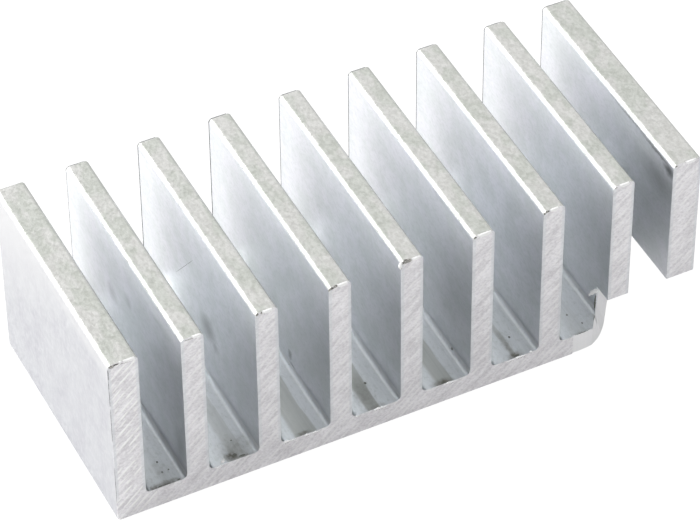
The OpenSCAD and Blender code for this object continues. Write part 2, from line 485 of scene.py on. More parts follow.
# %% Smooth strips along the sides of each fin
# The way in from the nearer side of a fin, in mm: past this x it is an end fin.
END_FINS_FROM = 25.0
axes = put(tree, "ShaderNodeSeparateXYZ", {0: in_mm})
x_mm, z_mm = axes.outputs["X"], axes.outputs["Z"]
half_fin, half_end_fin = BAR["Fin thickness"] / 2, BAR["End fin thickness"] / 2
in_pitch = put(tree, "ShaderNodeMath", {0: x_mm, 1: fin_sides(1)[0]}, operation="SUBTRACT")
in_pitch = put(
    tree, "ShaderNodeMath", {0: in_pitch, 1: INNER_PITCH}, operation="FLOORED_MODULO"
)
outwards = put(tree, "ShaderNodeMath", {0: x_mm}, operation="ABSOLUTE")
ways = []
for along_x, middle, half in ((in_pitch, half_fin, half_fin), (outwards, END_X, half_end_fin)):
    way = put(tree, "ShaderNodeMath", {0: along_x, 1: middle}, operation="SUBTRACT")
    way = put(tree, "ShaderNodeMath", {0: way}, operation="ABSOLUTE")
    ways.append(put(tree, "ShaderNodeMath", {0: half, 1: way}, operation="SUBTRACT"))
in_end = put(tree, "ShaderNodeMath", {0: outwards, 1: END_FINS_FROM}, operation="GREATER_THAN")
from_side = put(tree, "ShaderNodeMix", {0: in_end, 2: ways[0], 3: ways[1]}, data_type="FLOAT")
strip = put(
    tree,
    "ShaderNodeMapRange",
    {0: from_side, 1: 0.2, 2: 0.42, 3: 1.0, 4: 0.0},
    interpolation_type="SMOOTHSTEP",
)
above_base = put(tree, "ShaderNodeMapRange", {0: z_mm, 1: 2.4, 2: 3.4})
strip = put(tree, "ShaderNodeMath", {0: strip, 1: above_base}, operation="MULTIPLY")
print("a fin is", 2 * half_fin, "mm thick, an end fin", round(2 * half_end_fin, 3))

# %% Strokes, pits and strips together
FIRST_FIN_TO = -26.0
in_first = put(tree, "ShaderNodeMath", {0: x_mm, 1: FIRST_FIN_TO}, operation="LESS_THAN")
depth = put(tree, "ShaderNodeMapRange", {0: in_first, 3: 0.45, 4: 1.0})
smooth = put(tree, "ShaderNodeMapRange", {0: strip, 3: 1.0, 4: 0.35})
depth = put(tree, "ShaderNodeMath", {0: depth, 1: smooth}, operation="MULTIPLY")
crest = put(tree, "ShaderNodeMath", {0: crest, 1: depth}, operation="MULTIPLY")
cloudy = put(tree, "ShaderNodeMix", {0: 0.45, 2: pits, 3: broad}, data_type="FLOAT")
share = put(tree, "ShaderNodeMapRange", {0: cloudy, 1: 0.38, 2: 0.62})
ground = put(tree, "ShaderNodeMix", {0: share, 6: "#DBD9DC", 7: "#FAF9FB"}, data_type="RGBA")
tint = put(tree, "ShaderNodeMix", {0: crest, 6: ground, 7: "#FDFDFC"}, data_type="RGBA")
share = put(tree, "ShaderNodeMath", {0: strip, 1: 0.45}, operation="MULTIPLY")
tint = put(tree, "ShaderNodeMix", {0: share, 6: tint, 7: "#E0E4E7"}, data_type="RGBA")
# The far end is darker.
far = put(tree, "ShaderNodeSeparateXYZ", {0: place}).outputs["Y"]
far = put(tree, "ShaderNodeMapRange", {0: far, 1: -MM, 2: MM, 3: 0.0, 4: 0.85})
tint = put(tree, "ShaderNodeMix", {0: far, 6: tint, 7: "#96979A"}, data_type="RGBA")
gloss = put(tree, "ShaderNodeMapRange", {0: crest, 3: 0.6, 4: 0.42})
ridges = put(tree, "ShaderNodeBump", {"Height": crest, "Strength": 0.8, "Distance": 0.03 * MM})
grit = put(
    tree,
    "ShaderNodeBump",
    {"Height": pits, "Strength": 0.6, "Distance": 0.02 * MM, "Normal": ridges},
)
fill(shader, {"Base Color": tint, "Roughness": gloss, "Normal": grit})
print("made", sawn.name)

# %% Milled faces of the relief
milled, tree, shader, place = surface_finish("end_milled_aluminium", "#E4E4E5", 0.32, 0.1)
passes = grain(tree, place, (0.16, 0.16, 8), detail=2)
tint = put(tree, "ShaderNodeMix", {0: passes, 6: "#F0F0F3", 7: "#FFFFFF"}, data_type="RGBA")
ridges = put(tree, "ShaderNodeBump", {"Height": passes, "Strength": 0.3, "Distance": 0.02 * MM})
fill(shader, {"Base Color": tint, "Normal": ridges})
print("made", milled.name)

# %% Torn burrs
# A torn edge is crumpled finely, and its white with no Metallic is a painted
# highlight for the glints of torn metal.
torn_painted_highlight, tree, shader, place = surface_finish("torn_burr_painted_highlight", "#FFFFFF", 0.5, 0.0)
crumple = grain(tree, place, (0.12, 0.12, 0.12), detail=2)
gloss = put(tree, "ShaderNodeMapRange", {0: crumple, 1: 0.3, 2: 0.7, 3: 0.4, 4: 0.65})
fill(shader, {"Roughness": gloss})
print("made", torn_painted_highlight.name)

# %% Rubbed burrs
# Where the saw rubbed a burr flat it shines, and mirrors the table in front.
lip, tree, shader, place = surface_finish("rubbed_aluminium_burr", "#FFFFFF", 0.18)
print("made", lip.name)

# %% Broken metal in the chips
# Where a chip broke out, the metal tore open: small dull facets of every grey.
broken, tree, shader, place = surface_finish("broken_open_aluminium", "#8C8B87", 0.6, 0.3)
facets = grain(tree, place, (0.13, 0.13, 0.13), detail=3)
share = put(tree, "ShaderNodeMapRange", {0: facets, 1: 0.38, 2: 0.6})
tint = put(tree, "ShaderNodeMix", {0: share, 6: "#62625F", 7: "#D9D7D2"}, data_type="RGBA")
fill(shader, {"Base Color": tint})
print("made", broken.name)

# %% Dried cutting residue
residue, tree, shader, place = surface_finish("dried_cutting_residue", "#3C3F3A", 0.8, 0.0)
specks = grain(tree, place, (0.1, 0.1, 0.1), detail=3)
tint = put(tree, "ShaderNodeMix", {0: specks, 6: "#3C3F3A", 7: "#8A8D86"}, data_type="RGBA")
fill(shader, {"Base Color": tint})
print("made", residue.name)

# %% Burrs on the far edges, painted dark as a dark reflection
burr_painted_dark, tree, shader, place = surface_finish("saw_burr_painted_dark", "#8E9092", 0.6)
specks = grain(tree, place, (0.2, 0.2, 0.5), detail=2)
tint = put(tree, "ShaderNodeMix", {0: specks, 6: "#7C7E80", 7: "#B0B2B4"}, data_type="RGBA")
fill(shader, {"Base Color": tint})
print("made", burr_painted_dark.name)

# %% [markdown]
# ## The bar
#
# The section follows a rule: four corners for each fin, two on the tip and
# two at the root, and the outline goes from fin to fin and back along the
# foot. The outermost roots go all the way down to the foot. A Geometry Nodes
# tree puts the corners in place from their index, rounds each one by its own
# radius, and sweeps the outline along the bar, as the die does.

# %% Helpers for objects and for trees that make meshes
def add_object(name, data):
    """A new object in the scene, at the origin."""
    thing = bpy.data.objects.new(name, data)
    bpy.context.collection.objects.link(thing)
    return thing


def applied(thing):
    """Gives a thing the mesh that its modifiers make, and clears them."""
    depsgraph = bpy.context.evaluated_depsgraph_get()
    mesh = bpy.data.meshes.new_from_object(thing.evaluated_get(depsgraph))
    thing.modifiers.clear()
    old, thing.data = thing.data, mesh
    bpy.data.meshes.remove(old)
    return mesh


def grow(node_group, start=None, **values):
    """Runs a node tree on a start mesh, or on nothing, and returns the mesh it makes."""
    thing = add_object("seed", start or bpy.data.meshes.new("seed"))
    modifier = thing.modifiers.new("tree", "NODES")
    modifier.node_group = node_group
    for item in node_group.interface.items_tree:
        if item.item_type == "SOCKET" and item.in_out == "INPUT" and item.name in values:
            modifier[item.identifier] = values[item.name]
    made = applied(thing)
    bpy.data.objects.remove(thing)
    return made


def new_group(name, inputs):
    """An empty geometry tree with named inputs, and the sockets that hand them out."""
    group = bpy.data.node_groups.new(name, "GeometryNodeTree")
    group.interface.new_socket(name="Geometry", in_out="OUTPUT", socket_type="NodeSocketGeometry")
    for label, (kind, value) in inputs.items():
        socket = group.interface.new_socket(name=label, in_out="INPUT", socket_type=kind)
        if value is not None:
            socket.default_value = value
    return group, put(group, "NodeGroupInput").outputs


bar_inputs = {
    name: ("NodeSocketInt", value) if name == "Fins" else ("NodeSocketFloat", value * MM)
    for name, value in BAR.items()
}
bar_inputs["Material"] = ("NodeSocketMaterial", drawn)
bar_tree, given = new_group("heat_sink_bar", bar_inputs)
print("inputs of the bar's tree:", ", ".join(bar_inputs))

# %% Sums that place each corner of the section
# Each row is one Math node: the name of the result, the operation, and what
# goes in, which is a number, a size of the bar or an earlier result.
SUMS = [
    ("share", "DIVIDE", "index", 4.0),
    ("fin", "FLOOR", "share"),
    ("first corner", "MULTIPLY", "fin", 4.0),
    ("corner", "SUBTRACT", "index", "first corner"),
    ("on right", "GREATER_THAN", "corner", 1.5),
    ("twice right", "MULTIPLY", "on right", 2.0),
    ("side", "SUBTRACT", "twice right", 1.0),
    ("past middle", "SUBTRACT", "corner", 1.5),
    ("off middle", "ABSOLUTE", "past middle"),
    ("on tip", "LESS_THAN", "off middle", 1.0),
    # The two end fins are thicker, and stand closer to their neighbours.
    ("last fin", "SUBTRACT", "Fins", 1.0),
    ("before last", "SUBTRACT", "last fin", 0.5),
    ("is first", "LESS_THAN", "fin", 0.5),
    ("is last", "GREATER_THAN", "fin", "before last"),
    ("is end", "ADD", "is first", "is last"),
    ("is inner", "SUBTRACT", 1.0, "is end"),
    # An inner fin stands a whole number of pitches from the middle one.
    ("pitch", "ADD", "Fin thickness", "Channel"),
    ("middle fin", "MULTIPLY", "last fin", 0.5),
    ("fins along", "SUBTRACT", "fin", "middle fin"),
    ("inner x", "MULTIPLY", "fins along", "pitch"),
    ("half end fin", "MULTIPLY", "End fin thickness", 0.5),
    ("end gap", "ADD", "End channel", "half end fin"),
    ("half fin", "MULTIPLY", "Fin thickness", 0.5),
    ("end pitch", "ADD", "end gap", "half fin"),
    ("inner steps", "SUBTRACT", "middle fin", 1.0),
    ("inner reach", "MULTIPLY", "inner steps", "pitch"),
    ("end x", "ADD", "inner reach", "end pitch"),
    ("end side", "SUBTRACT", "is last", "is first"),
    ("inner middle", "MULTIPLY", "inner x", "is inner"),
    ("end middle", "MULTIPLY", "end x", "end side"),
    ("middle", "ADD", "inner middle", "end middle"),
    ("inner part", "MULTIPLY", "Fin thickness", "is inner"),
    ("end part", "MULTIPLY", "End fin thickness", "is end"),
    ("thickness", "ADD", "inner part", "end part"),
    ("half", "MULTIPLY", "thickness", 0.5),
    ("sideways", "MULTIPLY", "side", "half"),
    ("corner x", "ADD", "middle", "sideways"),
    # The first and the last corner of all are on the foot.
    ("corners", "MULTIPLY", "Fins", 4.0),
    ("last corner", "SUBTRACT", "corners", 1.0),
    ("before end", "SUBTRACT", "last corner", 0.5),
    ("at start", "LESS_THAN", "index", 0.5),
    ("at end", "GREATER_THAN", "index", "before end"),
    ("on foot", "ADD", "at start", "at end"),
    ("not on tip", "SUBTRACT", 1.0, "on tip"),
    ("on root", "SUBTRACT", "not on tip", "on foot"),
    ("tip height", "MULTIPLY", "on tip", "Height"),
    ("root height", "MULTIPLY", "on root", "Base"),
    ("corner z", "ADD", "tip height", "root height"),
    ("tip round", "MULTIPLY", "on tip", "Tip radius"),
    ("root round", "MULTIPLY", "on root", "Root radius"),
    ("foot round", "MULTIPLY", "on foot", "Foot radius"),
    ("lower round", "ADD", "root round", "foot round"),
    ("radius", "ADD", "tip round", "lower round"),
    # The path runs along Y, and the sweep turns the section's Y downwards.
    ("flipped z", "MULTIPLY", "corner z", -1.0),
    ("path end", "MULTIPLY", "Length", 0.5),
    ("path start", "MULTIPLY", "path end", -1.0),
]
known = {name: given[name] for name in bar_inputs}
known["index"] = put(bar_tree, "GeometryNodeInputIndex")
for name, operation, *values in SUMS:
    values = [known.get(value, value) for value in values]
    known[name] = put(bar_tree, "ShaderNodeMath", dict(enumerate(values)), operation=operation)
print("sums in the bar's tree:", len(SUMS))

# %% Outline, rounding and sweep
line = put(bar_tree, "GeometryNodeCurvePrimitiveLine")
corners = put(bar_tree, "GeometryNodeResampleCurve", {"Curve": line, "Count": known["corners"]})
spot = put(bar_tree, "ShaderNodeCombineXYZ", {0: known["corner x"], 1: known["flipped z"]})
outline = put(bar_tree, "GeometryNodeSetPosition", {"Geometry": corners, "Position": spot})
outline = put(bar_tree, "GeometryNodeSetSplineCyclic", {"Geometry": outline, "Cyclic": True})
rounded = put(
    bar_tree,
    "GeometryNodeFilletCurve",
    {"Curve": outline, "Count": 8, "Radius": known["radius"], "Limit Radius": False},
    mode="POLY",
)
path = put(
    bar_tree,
    "GeometryNodeCurvePrimitiveLine",
    {
        "Start": put(bar_tree, "ShaderNodeCombineXYZ", {1: known["path start"]}),
        "End": put(bar_tree, "ShaderNodeCombineXYZ", {1: known["path end"]}),
    },
)
swept = put(
    bar_tree,
    "GeometryNodeCurveToMesh",
    {"Curve": path, "Profile Curve": rounded, "Fill Caps": True},
)
swept = put(bar_tree, "GeometryNodeRealizeInstances", {0: swept})
coated = put(
    bar_tree, "GeometryNodeSetMaterial", {"Geometry": swept, "Material": known["Material"]}
)
put(bar_tree, "NodeGroupOutput", {0: coated})
bar = add_object("finned_bar", grow(bar_tree))
print("section has", len(bar.data.vertices) // 2, "points")

# %% Weld and turn the faces outwards
def tidy(mesh):
    """Merges doubled points and turns every face outwards."""
    work = bmesh.new()
    work.from_mesh(mesh)
    bmesh.ops.remove_doubles(work, verts=work.verts, dist=0.0005 * MM)
    bmesh.ops.recalc_face_normals(work, faces=work.faces)
    volume = work.calc_volume(signed=True)
    work.to_mesh(mesh)
    work.free()
    return volume


print("bar holds", round(tidy(bar.data) * 1e9), "cubic mm")

# %% [markdown]
# ## The milled corner
#
# One cutter takes the base away at the right of the front and a bite out of
# the last two fins above it. It skims the front face, then a crease follows
# and the wall runs back at an angle. Below the level of the channel floor the
# wall leans out, and at the foot it starts in a wide bend. The cutter is a
# stack of outlines, curved at the foot and straight at the top, and a Boolean
# takes it away.

# %% Sizes of the relief, in millimetres
RELIEF_TOP = 5.5
RELIEF_START = RIGHT - 12.85
SKIM = 0.1
WALL_ANGLE = math.radians(55)
WALL_X, WALL_Y = RIGHT - 9.7, FRONT + SKIM
BEND_RADIUS, BEND_STEPS = 8.0, 24
EASE, EASE_STEPS = 0.12, 8
FLARE = 0.82  # How far the wall leans out from the floor down to the foot
PAST = 1.0  # How far the cutter runs past the faces that it opens
wall_way = Vector((math.cos(WALL_ANGLE), math.sin(WALL_ANGLE)))
CREASE = Vector((WALL_X - FLARE / math.sin(WALL_ANGLE), WALL_Y))
print("the crease is at", [round(c, 2) for c in CREASE])


def layered(name, layers):
    """A closed solid through rings of points, from the lowest to the highest."""
    work = bmesh.new()
    rings = [[work.verts.new([c * MM for c in point]) for point in ring] for ring in layers]
    work.faces.new(rings[0])
    work.faces.new(rings[-1])
    for lower, upper in zip(rings, rings[1:]):
        for i in range(len(lower)):
            j = (i + 1) % len(lower)
            work.faces.new((lower[i], lower[j], upper[j]))
            work.faces.new((lower[i], upper[j], upper[i]))
    bmesh.ops.recalc_face_normals(work, faces=work.faces)
    mesh = bpy.data.meshes.new(name)
    work.to_mesh(mesh)
    work.free()
    return add_object(name, mesh)


# %% The outline of the relief at the foot and at the channel floor
half_turn = math.asin(math.sqrt(FLARE / (2 * BEND_RADIUS)))
bend_start = WALL_ANGLE - 2 * half_turn
bend_run = 2 * BEND_RADIUS * math.sin(half_turn) * math.cos(half_turn)


def relief_plan(bend):
    """The cutter's outline; bend is 1 for the curved foot and 0 for the straight top.

    At the foot the cut deepens gently, so the bend has no corner where it starts.
    """
    points = [Vector((RELIEF_START, FRONT - PAST)), Vector((RELIEF_START, WALL_Y))]
    for before, deeper in ((1.2, 0.0), (0.6, 0.045)):
        points.append(Vector((CREASE.x - before, WALL_Y + deeper * bend)))
    centre = CREASE + BEND_RADIUS * Vector((-math.sin(bend_start), math.cos(bend_start)))
    for step in range(BEND_STEPS + 1):
        turn = bend_start + 2 * half_turn * step / BEND_STEPS
        curved = centre + BEND_RADIUS * Vector((math.sin(turn), -math.cos(turn)))
        straight = CREASE + wall_way * (bend_run * step / BEND_STEPS)
        curved.y += EASE * max(1 - step / EASE_STEPS, 0)
        points.append(straight.lerp(curved, bend))
    reach = (RIGHT + PAST - points[-1].x) / wall_way.x
    points.append(points[-1] + reach * wall_way)
    points.append(Vector((RIGHT + PAST, FRONT - PAST)))
    return points


foot_plan, top_plan = relief_plan(1.0), relief_plan(0.0)
LAYERS = ((foot_plan, -PAST), (foot_plan, 0), (top_plan, FLOOR), (top_plan, RELIEF_TOP))
relief_cutter = layered(
    "relief_cutter", [[(*point, height) for point in plan] for plan, height in LAYERS]
)
print("the relief's outline has", len(foot_plan), "points")

# %% Take the cutter away
def carve(thing, cutter):
    """Takes the cutter away from the thing and applies the result."""
    cut = thing.modifiers.new("cut", "BOOLEAN")
    cut.operation, cut.solver, cut.object = "DIFFERENCE", "EXACT", cutter
    cut.material_mode = "TRANSFER"
    result = applied(thing)
    bpy.data.objects.remove(cutter)
    return tidy(result)


print("after the relief:", round(carve(bar, relief_cutter) * 1e9), "cubic mm")

# %% [markdown]
# ## Edges
#
# A real edge is never perfectly sharp, and its narrow rounding catches the
# light. A Bevel modifier rounds every edge of the sawn ends and of the milled
# corner. The faces of the two ends are then divided above the base and below
# the tips, so that a cut in one fin only touches that fin.

# %% Break the sawn edges
EDGE_ROUNDING = 0.07
DIVIDED_AT = (3.2, 18.6)
edge_break = bar.modifiers.new("edge_break", "BEVEL")
edge_break.width = EDGE_ROUNDING * MM
edge_break.segments = 2
edge_break.limit_method = "ANGLE"
edge_break.angle_limit = math.radians(40)
edge_break.use_clamp_overlap = False
bevelled = applied(bar)
work = bmesh.new()
work.from_mesh(bevelled)
for height in DIVIDED_AT:
    ends = [face for face in work.faces if abs(face.normal.y) > 0.99]
    parts = set(ends)
    for face in ends:
        parts.update(face.edges)
        parts.update(face.verts)
    bmesh.ops.bisect_plane(
        work,
        geom=list(parts),
        dist=0.001 * MM,
        plane_co=(0, 0, height * MM),
        plane_no=(0, 0, 1),
    )
work.to_mesh(bevelled)
work.free()
bevelled.materials.clear()
bevelled.materials.append(drawn)
print("bar has", len(bevelled.polygons), "faces")

# %% [markdown]
# ## Chips along the sawn edge
#
# Where the blade met the top of each fin it tore the edge and broke small
# chips out of it. One of the fins has a larger nick. A tree puts a lump on
# each of a list of points, gives it its own size and pushes its surface about
# with noise. The lumps are then used as cutters, so the chips are real
# hollows, and they are lined with the broken metal.

# %% A tree that grows lumps on points
def shaken(tree, noisy, reach):
    """A push in any direction, read from a noise and up to the given reach."""
    push = put(
        tree,
        "ShaderNodeVectorMath",
        {0: noisy.outputs["Color"], 1: (0.5, 0.5, 0.5)},
        operation="SUBTRACT",
    )
    both_ways = put(tree, "ShaderNodeMath", {0: reach, 1: 2.0}, operation="MULTIPLY")
    return put(
        tree, "ShaderNodeVectorMath", {0: push, "Scale": both_ways}, operation="SCALE"
    )


lump_tree, given = new_group(
    "lumps_on_points",
    {
        "Geometry": ("NodeSocketGeometry", None),
        "Raggedness": ("NodeSocketFloat", 0.05 * MM),
        "Detail size": ("NodeSocketFloat", 0.25 * MM),
        "Seed": ("NodeSocketInt", 3),
        "Material": ("NodeSocketMaterial", broken),
    },
)
ball = put(lump_tree, "GeometryNodeMeshIcoSphere", {"Radius": 1.0, "Subdivisions": 3})
own_size = put(
    lump_tree, "GeometryNodeInputNamedAttribute", {"Name": "size"}, data_type="FLOAT_VECTOR"
)
lumps = put(
    lump_tree,
    "GeometryNodeInstanceOnPoints",
    {"Points": given["Geometry"], "Instance": ball, "Scale": own_size},
)
lumps = put(lump_tree, "GeometryNodeRealizeInstances", {0: lumps})
per_grain = put(
    lump_tree, "ShaderNodeMath", {0: 1.0, 1: given["Detail size"]}, operation="DIVIDE"
)
noisy = put(
    lump_tree,
    "ShaderNodeTexNoise",
    {"Scale": per_grain, "Detail": 2.0, "W": given["Seed"]},
    noise_dimensions="4D",
)
push = shaken(lump_tree, noisy, given["Raggedness"])
lumps = put(lump_tree, "GeometryNodeSetPosition", {"Geometry": lumps, "Offset": push})
lumps = put(
    lump_tree, "GeometryNodeSetMaterial", {"Geometry": lumps, "Material": given["Material"]}
)
put(lump_tree, "NodeGroupOutput", {0: lumps})


def points_mesh(rows):
    """Loose points at x, y, z with an own size along each axis, all in mm."""
    mesh = bpy.data.meshes.new("points")
    mesh.from_pydata([[c * MM for c in row[:3]] for row in rows], [], [])
    sizes = mesh.attributes.new("size", "FLOAT_VECTOR", "POINT")
    for item, row in zip(sizes.data, rows):
        item.vector = [c * MM for c in row[3:6]]
    return mesh


print("nodes in the lumps' tree:", len(lump_tree.nodes))

# %% Tear the top edges open
# Each row: where the tear starts and ends along X, and the width of its burr.
TOP_BURRS = [
    (-28.45, -27.35, 0.3),
    (-28.85, -28.65, 0.2),
    (-21.8, -20.95, 0.3),
    (-14.95, -14.0, 0.32),
    (-7.5, -6.5, 0.34),
    (-0.02, 0.85, 0.26),
    (6.65, 8.05, 0.36),
    (14.15, 14.95, 0.34),
    (21.35, 22.35, 0.36),
    (28.3, 29.4, 0.32),
]
# The slope starts below the top edge, and comes out on top behind it.
TEAR_DEPTH, TEAR_REACH, PROUD = 0.27, 0.36, 0.15


def wedge(start, end):
    """A long wedge from x = start to x = end that leaves a torn slope, in mm."""
    ahead, over = FRONT - 0.2, TOP + PROUD
    slope = [(ahead, TOP - TEAR_DEPTH), (FRONT + TEAR_REACH, over), (ahead, over)]
    corners = [(x * MM, y * MM, z * MM) for x in (start, end) for y, z in slope]
    mesh = bpy.data.meshes.new("wedge")
    sides = [(0, 1, 2), (5, 4, 3), (0, 3, 4, 1), (1, 4, 5, 2), (2, 5, 3, 0)]
    mesh.from_pydata(corners, [], sides)
    mesh.materials.append(torn_painted_highlight)
    tidy(mesh)
    return mesh


for start, end, _ in TOP_BURRS:
    carve(bar, add_object("tear", wedge(start, end)))
print("edges torn:", len(TOP_BURRS))

# %% Cut the chips
# Each row: place along X, depth below the top, and the size along X, Y and Z.
CHIPS = [
    (-29.62, 0.22, 0.26, 0.16, 0.17),
    (-29.2, 0.12, 0.3, 0.1, 0.09),
    (-28.2, 0.25, 0.6, 0.05, 0.045),
    (-21.95, 0.2, 0.7, 0.06, 0.05),
    (-15.5, 0.12, 0.17, 0.15, 0.15),
    (-15.02, 0.1, 0.13, 0.13, 0.12),
    (-14.5, 0.25, 0.35, 0.04, 0.035),
    (-8.42, 0.3, 0.18, 0.15, 0.15),
    (-8.1, 0.16, 0.25, 0.16, 0.14),
    (-7.7, 0.06, 0.22, 0.15, 0.12),
    (-1.0, 0.1, 0.22, 0.2, 0.2),
    (-0.62, 0.06, 0.3, 0.26, 0.24),
    (-0.28, 0.1, 0.2, 0.22, 0.2),
    (-1.15, 0.75, 0.12, 0.07, 0.12),
    (0.5, 0.2, 0.3, 0.04, 0.035),
    (6.35, 0.16, 0.18, 0.12, 0.14),
    (13.5, 0.22, 0.16, 0.13, 0.12),
    (13.8, 0.08, 0.25, 0.12, 0.1),
    (20.95, 0.14, 0.14, 0.06, 0.09),
    (27.3, 0.12, 0.22, 0.1, 0.08),
]
for x, below, *sizes in CHIPS:
    chip = points_mesh([(x, FRONT, TOP - below, *sizes)])
    carve(bar, add_object("chip", grow(lump_tree, chip)))
# Wide faces set the shading of the narrow ones beside them. Only chips look faceted.
even_shading = bar.modifiers.new("even_shading", "WEIGHTED_NORMAL")
even_shading.mode, even_shading.weight = "FACE_AREA", 90
for face in bar.data.polygons:
    face.use_smooth = bar.data.materials[face.material_index] != broken
chipped = applied(bar)
print("chips cut:", len(CHIPS), "- the bar has", len(chipped.polygons), "faces")

# %% Give each face the material of the way it was made
FINISHES = (drawn, tips, floors, sawn, milled, outer, broken, torn_painted_highlight)
cut_open = [chipped.materials[face.material_index] for face in chipped.polygons]
chipped.materials.clear()
for material in FINISHES:
    chipped.materials.append(material)
# Where a face is and where it looks tell how it was made.
for face in chipped.polygons:
    x, y, z = (c / MM for c in face.center)
    nx, ny, nz = face.normal
    on_end = min(y - FRONT, BACK - y) < 0.12
    on_wall = y > FRONT + 0.05 and z < FLOOR and abs(ny) > 0.3
    on_roof = nz < -0.9 and z > 3
    in_relief = x > RELIEF_START - 0.01 and z < RELIEF_TOP + 0.05
    finish = drawn
    if abs(nx) > 0.7 and RIGHT - abs(x) < 0.1:
        finish = outer
    if nz > 0.35 and z > TOP - 0.6:
        finish = tips
    elif nz > 0.04 and FLOOR - 0.1 < z < FLOOR + 0.5 and not on_end:
        finish = floors
    if in_relief and (on_wall or on_roof):
        finish = milled
    elif on_end and abs(ny) > 0.3:
        finish = sawn
    if cut_open[face.index] in (torn_painted_highlight, broken):
        finish = cut_open[face.index]
    face.material_index = FINISHES.index(finish)
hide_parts("heat_sink")
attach(bar, "root")
print("finishes on the bar:", [material.name for material in chipped.materials])

# %% [markdown]
# ## Burrs and crumbs
#
# The saw pushed soft metal over the edges and left thin bright burrs, ragged
# and uneven; the white of the torn ones is a painted highlight. Each burr is a
# line drawn along an edge. A tree cuts the line into short steps, wobbles it
# and sweeps a small ring along it whose size changes from step to step.

# %% A tree that grows a burr along a line
burr_tree, given = new_group(
    "burrs_on_lines",
    {
        "Geometry": ("NodeSocketGeometry", None),
        "Step": ("NodeSocketFloat", 0.06 * MM),
        "Wobble": ("NodeSocketFloat", 0.025 * MM),
        "Seed": ("NodeSocketInt", 5),
        "Material": ("NodeSocketMaterial", torn_painted_highlight),
    },
)
line = put(burr_tree, "GeometryNodeMeshToCurve", {0: given["Geometry"]})
steps = put(
    burr_tree,
    "GeometryNodeResampleCurve",
    {"Curve": line, "Length": given["Step"]},
    mode="LENGTH",
)
noisy = put(
    burr_tree,
    "ShaderNodeTexNoise",
    {"Scale": 1 / (0.18 * MM), "Detail": 2.0, "W": given["Seed"]},
    noise_dimensions="4D",
)
sway = shaken(burr_tree, noisy, given["Wobble"])
steps = put(burr_tree, "GeometryNodeSetPosition", {"Geometry": steps, "Offset": sway})
thick = put(burr_tree, "GeometryNodeInputNamedAttribute", {"Name": "thick"}, data_type="FLOAT")
uneven = put(burr_tree, "ShaderNodeMapRange", {0: noisy, 1: 0.3, 2: 0.65, 3: 0.55, 4: 1.15})
thick = put(burr_tree, "ShaderNodeMath", {0: thick, 1: uneven}, operation="MULTIPLY")
ring = put(burr_tree, "GeometryNodeCurvePrimitiveCircle", {"Resolution": 6, "Radius": 1.0})
burr = put(
    burr_tree,
    "GeometryNodeCurveToMesh",
    {"Curve": steps, "Profile Curve": ring, "Scale": thick, "Fill Caps": True},
)
burr = put(burr_tree, "GeometryNodeRealizeInstances", {0: burr})
burr = put(
    burr_tree, "GeometryNodeSetMaterial", {"Geometry": burr, "Material": given["Material"]}
)
put(burr_tree, "NodeGroupOutput", {0: burr})


def lines_mesh(rows):
    """One line of points for each row: (thickness, point, point, ...), in mm."""
    spots, edges, thick = [], [], []
    for width, *points in rows:
        for i, point in enumerate(points):
            if i:
                edges.append((len(spots) - 1, len(spots)))
            spots.append([c * MM for c in point])
            thick.append(width / 2 * MM * (0.5 if i in (0, len(points) - 1) else 1.0))
    mesh = bpy.data.meshes.new("lines")
    mesh.from_pydata(spots, edges, [])
    widths = mesh.attributes.new("thick", "FLOAT", "POINT")
    for item, value in zip(widths.data, thick):
        item.value = value
    return mesh


print("nodes in the burrs' tree:", len(burr_tree.nodes))

# %% Burrs on the top edges and on the floors
Y_BURR, Z_BURR, Y_LIP = FRONT + 0.02, TOP - 0.13, FRONT - 0.03
# Each row: start and end along X, width, and height above or below the floor.
FLOOR_BURRS = [
    (-20.1, -19.5, 0.16, -0.06),
    (-13.2, -12.55, 0.42, 0.0),
    (-12.5, -11.9, 0.2, -0.03),
    (-11.1, -10.4, 0.3, -0.08),
    (-10.4, -9.5, 0.2, -0.08),
    (-5.9, -5.3, 0.14, -0.02),
    (-3.9, -2.6, 0.28, -0.05),
    (3.4, 4.9, 0.26, -0.06),
    (10.0, 10.9, 0.2, -0.08),
    (10.9, 12.0, 0.3, -0.07),
    (12.45, 12.75, 0.3, 0.08),
]


def along_edge(start, end, y, z):
    """Four points along an edge that runs in X, in mm."""
    third = (end - start) / 3
    return [(start + third * i, y, z) for i in range(4)]


top_lines = [(width, *along_edge(a, b, Y_BURR, Z_BURR)) for a, b, width in TOP_BURRS]
floor_lines = [
    (width, *along_edge(a, b, Y_LIP, FLOOR + above)) for a, b, width, above in FLOOR_BURRS
]
LOOSE_BURRS = [
    # The milling cutter left one larger burr, curled over at the foot of a fin.
    (
        0.44,
        (20.66, -10.8, 5.2),
        (20.55, -10.45, 4.9),
        (20.4, -10.2, 4.55),
        (20.2, -10.05, 4.2),
    ),
    # Beside the nick the edge was pushed over the side and hangs down.
    (
        0.36,
        (-1.0, -12.4, 19.84),
        (-1.14, -12.52, 19.72),
        (-1.24, -12.58, 19.5),
        (-1.2, -12.6, 19.25),
    ),
    # A flake of the same metal lies beside the stain in the second channel.
    (0.45, (-19.4, -12.35, 2.33), (-19.2, -12.25, 2.33), (-19.0, -12.0, 2.31)),
]


def finished(name, mesh):
    """An object for a small piece of the metal, kept inside the CAD box."""
    for vertex in mesh.vertices:
        for axis in range(3):
            vertex.co[axis] = min(max(vertex.co[axis], LOW[axis]), HIGH[axis])
    tidy(mesh)
    thing = add_object(name, mesh)
    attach(thing, "root")
    print(name, "has", len(mesh.polygons), "faces")


finished("edge_burrs", grow(burr_tree, lines_mesh(top_lines + LOOSE_BURRS)))
finished("floor_burrs", grow(burr_tree, lines_mesh(floor_lines), Material=lip))

